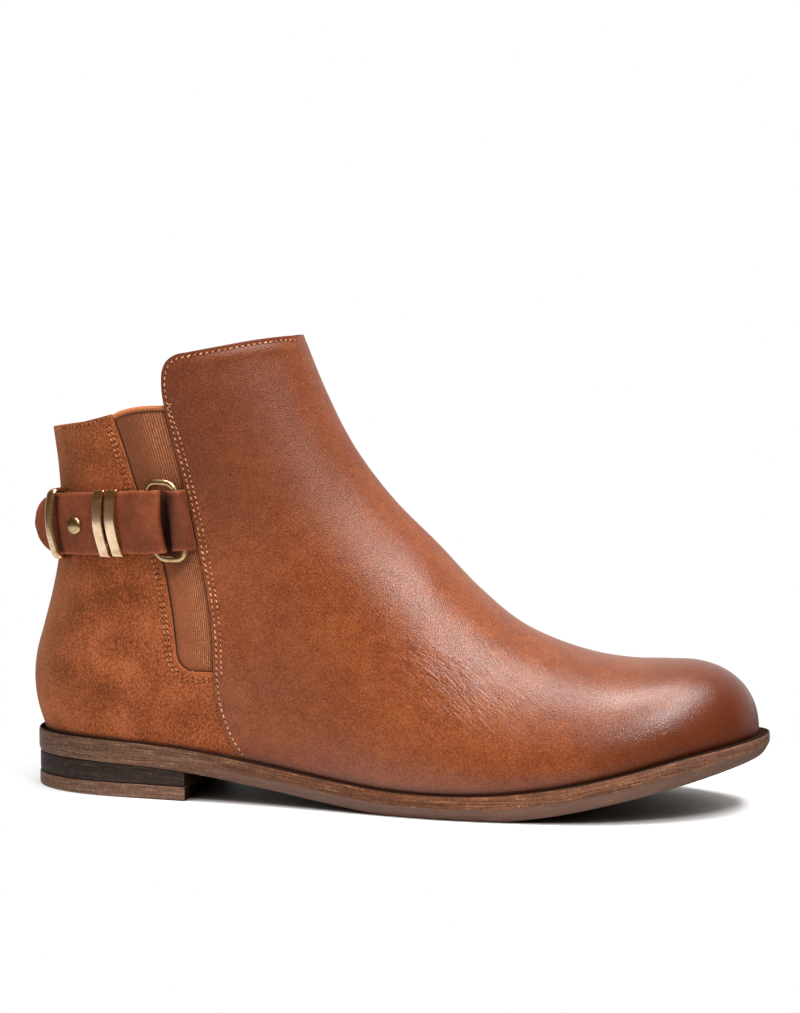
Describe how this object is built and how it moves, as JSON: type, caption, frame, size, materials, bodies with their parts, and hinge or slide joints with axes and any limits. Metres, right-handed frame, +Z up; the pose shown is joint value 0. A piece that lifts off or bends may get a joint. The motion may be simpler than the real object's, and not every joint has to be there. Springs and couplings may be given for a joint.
{
  "type": "flat ankle boot",
  "caption": "Right flat ankle boot with a high smooth leather front, suede heel, elastic side gores, a buckled strap round the heel and a low stacked heel.",
  "frame": {"origin": "middle of the boot's box on the floor plane", "axes": "+X from heel to toe, +Y to the medial side, +Z up from the floor"},
  "size_m": [0.2608, 0.086, 0.1604],
  "materials": {
    "vamp_leather": "satin cognac leather, burnished at toe and edges",
    "heel_suede": "matte orange-brown suede nap",
    "gore_elastic": "matte ribbed brown elastic",
    "lining": "matte tan lining",
    "strap_leather": "smooth reddish-brown leather with raw edges",
    "sole_stack": "matte brown with fine stacked streaks",
    "heel_dark": "matte near-black brown with fine streaks",
    "brass": "worn antique brass"
  },
  "bodies": {
    "root": {"outsole": "sole_stack", "heel_block": "heel_dark", "heel_lift": "sole_stack", "insole": "lining", "upper": "lining", "vamp": "vamp_leather", "heel_counter": "heel_suede", "gore_lateral": "gore_elastic", "gore_medial": "gore_elastic", "strap": "strap_leather", "strap_tab": "strap_leather", "ring": "brass", "strap_band_rear": "brass", "strap_band_front": "brass", "stud": "brass", "keeper_loop": "brass"}
  },
  "joints": []
}
